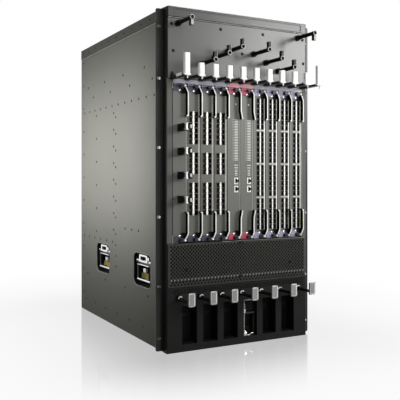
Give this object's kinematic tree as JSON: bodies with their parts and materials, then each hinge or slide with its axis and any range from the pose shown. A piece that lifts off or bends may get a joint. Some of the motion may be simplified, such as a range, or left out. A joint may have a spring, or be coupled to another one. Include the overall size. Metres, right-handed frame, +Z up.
{
  "type": "modular chassis switch",
  "caption": "Tall rack chassis with upright switch cards on ejector levers, cable posts and combs, air filter door, power bays, rear fans and folding carry handles.",
  "frame": {"origin": "middle of the chassis base, on the surface it stands on", "axes": "+X to the right seen from the front, +Y to the rear, +Z up"},
  "size_m": [0.4826, 0.7828, 0.886],
  "materials": {
    "chassis_paint": "semi-gloss dark olive grey paint",
    "side_paint": "semi-gloss dark olive grey paint",
    "black_paint": "semi-gloss black paint",
    "bezel_paint": "satin charcoal paint",
    "panel_paint": "satin mid grey paint",
    "black_plastic": "moulded black plastic",
    "white_plastic": "moulded white plastic",
    "grey_plastic": "moulded light grey plastic",
    "rail_paint": "satin purple-grey paint",
    "board_laminate": "green circuit board",
    "filter_paint": "punched steel in black paint over foam",
    "power_paint": "satin dark grey paint",
    "tray_metal": "zinc plated steel",
    "handle_chrome": "bright chrome plate",
    "card_face": "satin grey paint",
    "light_card_face": "satin light grey paint",
    "manager_face": "satin grey paint",
    "optic_metal": "plated die casting",
    "lever_metal": "bright front edge on a black blade"
  },
  "bodies": {
    "chassis": {"base_pan": "chassis_paint", "side_panel_left": "side_paint", "side_panel_right": "side_paint", "top_cover": "chassis_paint", "rear_panel": "chassis_paint", "rack_ear_left": "black_paint", "rack_ear_right": "black_paint", "front_frame": "black_paint", "top_bezel": "bezel_paint", "upper_panel": "panel_paint", "cable_posts": "black_plastic", "upper_comb": "white_plastic", "lower_comb": "grey_plastic", "card_shelves": "rail_paint", "backplane": "board_laminate", "bay_dividers": "black_paint", "power_blanks": "black_plastic", "handle_pans": "black_paint", "power_entry": "black_plastic"},
    "filter_door": {"air_filter": "filter_paint"},
    "power_unit_body": {"power_unit": "power_paint"},
    "fan_tray_body": {"fan_tray": "tray_metal"},
    "fan_rotor_1_body": {"fan_rotor_1": "black_plastic"},
    "fan_rotor_2_body": {"fan_rotor_2": "black_plastic"},
    "fan_rotor_3_body": {"fan_rotor_3": "black_plastic"},
    "side_handle_left_front_body": {"side_handle_left_front": "handle_chrome"},
    "side_handle_left_rear_body": {"side_handle_left_rear": "handle_chrome"},
    "side_handle_right_front_body": {"side_handle_right_front": "handle_chrome"},
    "side_handle_right_rear_body": {"side_handle_right_rear": "handle_chrome"},
    "card_1": {"optic_card_1": "card_face", "plug_optics": "optic_metal"},
    "lever_top_1_body": {"lever_top_1": "lever_metal"},
    "lever_low_1_body": {"lever_low_1": "lever_metal"},
    "card_2": {"fibre_card_2": "card_face"},
    "lever_top_2_body": {"lever_top_2": "lever_metal"},
    "lever_low_2_body": {"lever_low_2": "lever_metal"},
    "card_3": {"fibre_card_3": "card_face"},
    "lever_top_3_body": {"lever_top_3": "lever_metal"},
    "lever_low_3_body": {"lever_low_3": "lever_metal"},
    "card_4": {"fibre_card_4": "card_face"},
    "lever_top_4_body": {"lever_top_4": "lever_metal"},
    "lever_low_4_body": {"lever_low_4": "lever_metal"},
    "card_5": {"manager_card_5": "manager_face"},
    "lever_top_5_body": {"lever_top_5": "lever_metal"},
    "lever_low_5_body": {"lever_low_5": "lever_metal"},
    "card_6": {"manager_card_6": "manager_face"},
    "lever_top_6_body": {"lever_top_6": "lever_metal"},
    "lever_low_6_body": {"lever_low_6": "lever_metal"},
    "card_7": {"fibre_card_7": "light_card_face"},
    "lever_top_7_body": {"lever_top_7": "lever_metal"},
    "lever_low_7_body": {"lever_low_7": "lever_metal"},
    "card_8": {"fibre_card_8": "light_card_face"},
    "lever_top_8_body": {"lever_top_8": "lever_metal"},
    "lever_low_8_body": {"lever_low_8": "lever_metal"},
    "card_9": {"fibre_card_9": "light_card_face"},
    "lever_top_9_body": {"lever_top_9": "lever_metal"},
    "lever_low_9_body": {"lever_low_9": "lever_metal"},
    "card_10": {"fibre_card_10": "light_card_face"},
    "lever_top_10_body": {"lever_top_10": "lever_metal"},
    "lever_low_10_body": {"lever_low_10": "lever_metal"}
  },
  "joints": [
    {"name": "filter_door_slide", "type": "slide", "parent": "chassis", "child": "filter_door", "axis": [0, -1, 0], "range_m": [0, 0.2]},
    {"name": "power_unit_slide", "type": "slide", "parent": "chassis", "child": "power_unit_body", "axis": [0, -1, 0], "range_m": [0, 0.44]},
    {"name": "fan_tray_slide", "type": "slide", "parent": "chassis", "child": "fan_tray_body", "axis": [0, 1, 0], "range_m": [0, 0.12]},
    {"name": "fan_1_spin", "type": "hinge", "parent": "fan_tray_body", "child": "fan_rotor_1_body", "pos_m": [-0.132, 0.299, 0.78], "axis": [0, 1, 0], "continuous": true},
    {"name": "fan_2_spin", "type": "hinge", "parent": "fan_tray_body", "child": "fan_rotor_2_body", "pos_m": [0, 0.299, 0.78], "axis": [0, 1, 0], "continuous": true},
    {"name": "fan_3_spin", "type": "hinge", "parent": "fan_tray_body", "child": "fan_rotor_3_body", "pos_m": [0.132, 0.299, 0.78], "axis": [0, 1, 0], "continuous": true},
    {"name": "handle_left_front_fold", "type": "hinge", "parent": "chassis", "child": "side_handle_left_front_body", "pos_m": [-0.21, -0.1845, 0.218], "axis": [0, 1, 0], "range_deg": [0, 90]},
    {"name": "handle_left_rear_fold", "type": "hinge", "parent": "chassis", "child": "side_handle_left_rear_body", "pos_m": [-0.21, 0.1255, 0.218], "axis": [0, 1, 0], "range_deg": [0, 90]},
    {"name": "handle_right_front_fold", "type": "hinge", "parent": "chassis", "child": "side_handle_right_front_body", "pos_m": [0.21, -0.1845, 0.218], "axis": [0, -1, 0], "range_deg": [0, 90]},
    {"name": "handle_right_rear_fold", "type": "hinge", "parent": "chassis", "child": "side_handle_right_rear_body", "pos_m": [0.21, 0.1255, 0.218], "axis": [0, -1, 0], "range_deg": [0, 90]},
    {"name": "card_1_slide", "type": "slide", "parent": "chassis", "child": "card_1", "axis": [0, -1, 0], "range_m": [0, 0.4]},
    {"name": "lever_top_1_swing", "type": "hinge", "parent": "card_1", "child": "lever_top_1_body", "pos_m": [-0.17218, -0.35, 0.686], "axis": [-1, 0, 0], "range_deg": [0, 65]},
    {"name": "lever_low_1_swing", "type": "hinge", "parent": "card_1", "child": "lever_low_1_body", "pos_m": [-0.17218, -0.35, 0.286], "axis": [1, 0, 0], "range_deg": [0, 65]},
    {"name": "card_2_slide", "type": "slide", "parent": "chassis", "child": "card_2", "axis": [0, -1, 0], "range_m": [0, 0.4]},
    {"name": "lever_top_2_swing", "type": "hinge", "parent": "card_2", "child": "lever_top_2_body", "pos_m": [-0.13154, -0.35, 0.686], "axis": [-1, 0, 0], "range_deg": [0, 65]},
    {"name": "lever_low_2_swing", "type": "hinge", "parent": "card_2", "child": "lever_low_2_body", "pos_m": [-0.13154, -0.35, 0.286], "axis": [1, 0, 0], "range_deg": [0, 65]},
    {"name": "card_3_slide", "type": "slide", "parent": "chassis", "child": "card_3", "axis": [0, -1, 0], "range_m": [0, 0.4]},
    {"name": "lever_top_3_swing", "type": "hinge", "parent": "card_3", "child": "lever_top_3_body", "pos_m": [-0.0909, -0.35, 0.686], "axis": [-1, 0, 0], "range_deg": [0, 65]},
    {"name": "lever_low_3_swing", "type": "hinge", "parent": "card_3", "child": "lever_low_3_body", "pos_m": [-0.0909, -0.35, 0.286], "axis": [1, 0, 0], "range_deg": [0, 65]},
    {"name": "card_4_slide", "type": "slide", "parent": "chassis", "child": "card_4", "axis": [0, -1, 0], "range_m": [0, 0.4]},
    {"name": "lever_top_4_swing", "type": "hinge", "parent": "card_4", "child": "lever_top_4_body", "pos_m": [-0.05026, -0.35, 0.686], "axis": [-1, 0, 0], "range_deg": [0, 65]},
    {"name": "lever_low_4_swing", "type": "hinge", "parent": "card_4", "child": "lever_low_4_body", "pos_m": [-0.05026, -0.35, 0.286], "axis": [1, 0, 0], "range_deg": [0, 65]},
    {"name": "card_5_slide", "type": "slide", "parent": "chassis", "child": "card_5", "axis": [0, -1, 0], "range_m": [0, 0.4]},
    {"name": "lever_top_5_swing", "type": "hinge", "parent": "card_5", "child": "lever_top_5_body", "pos_m": [-0.00962, -0.35, 0.686], "axis": [-1, 0, 0], "range_deg": [0, 65]},
    {"name": "lever_low_5_swing", "type": "hinge", "parent": "card_5", "child": "lever_low_5_body", "pos_m": [-0.00962, -0.35, 0.286], "axis": [1, 0, 0], "range_deg": [0, 65]},
    {"name": "card_6_slide", "type": "slide", "parent": "chassis", "child": "card_6", "axis": [0, -1, 0], "range_m": [0, 0.4]},
    {"name": "lever_top_6_swing", "type": "hinge", "parent": "card_6", "child": "lever_top_6_body", "pos_m": [0.03102, -0.35, 0.686], "axis": [-1, 0, 0], "range_deg": [0, 65]},
    {"name": "lever_low_6_swing", "type": "hinge", "parent": "card_6", "child": "lever_low_6_body", "pos_m": [0.03102, -0.35, 0.286], "axis": [1, 0, 0], "range_deg": [0, 65]},
    {"name": "card_7_slide", "type": "slide", "parent": "chassis", "child": "card_7", "axis": [0, -1, 0], "range_m": [0, 0.4]},
    {"name": "lever_top_7_swing", "type": "hinge", "parent": "card_7", "child": "lever_top_7_body", "pos_m": [0.07166, -0.35, 0.686], "axis": [-1, 0, 0], "range_deg": [0, 65]},
    {"name": "lever_low_7_swing", "type": "hinge", "parent": "card_7", "child": "lever_low_7_body", "pos_m": [0.07166, -0.35, 0.286], "axis": [1, 0, 0], "range_deg": [0, 65]},
    {"name": "card_8_slide", "type": "slide", "parent": "chassis", "child": "card_8", "axis": [0, -1, 0], "range_m": [0, 0.4]},
    {"name": "lever_top_8_swing", "type": "hinge", "parent": "card_8", "child": "lever_top_8_body", "pos_m": [0.1123, -0.35, 0.686], "axis": [-1, 0, 0], "range_deg": [0, 65]},
    {"name": "lever_low_8_swing", "type": "hinge", "parent": "card_8", "child": "lever_low_8_body", "pos_m": [0.1123, -0.35, 0.286], "axis": [1, 0, 0], "range_deg": [0, 65]},
    {"name": "card_9_slide", "type": "slide", "parent": "chassis", "child": "card_9", "axis": [0, -1, 0], "range_m": [0, 0.4]},
    {"name": "lever_top_9_swing", "type": "hinge", "parent": "card_9", "child": "lever_top_9_body", "pos_m": [0.15294, -0.35, 0.686], "axis": [-1, 0, 0], "range_deg": [0, 65]},
    {"name": "lever_low_9_swing", "type": "hinge", "parent": "card_9", "child": "lever_low_9_body", "pos_m": [0.15294, -0.35, 0.286], "axis": [1, 0, 0], "range_deg": [0, 65]},
    {"name": "card_10_slide", "type": "slide", "parent": "chassis", "child": "card_10", "axis": [0, -1, 0], "range_m": [0, 0.4]},
    {"name": "lever_top_10_swing", "type": "hinge", "parent": "card_10", "child": "lever_top_10_body", "pos_m": [0.19358, -0.35, 0.686], "axis": [-1, 0, 0], "range_deg": [0, 65]},
    {"name": "lever_low_10_swing", "type": "hinge", "parent": "card_10", "child": "lever_low_10_body", "pos_m": [0.19358, -0.35, 0.286], "axis": [1, 0, 0], "range_deg": [0, 65]}
  ]
}
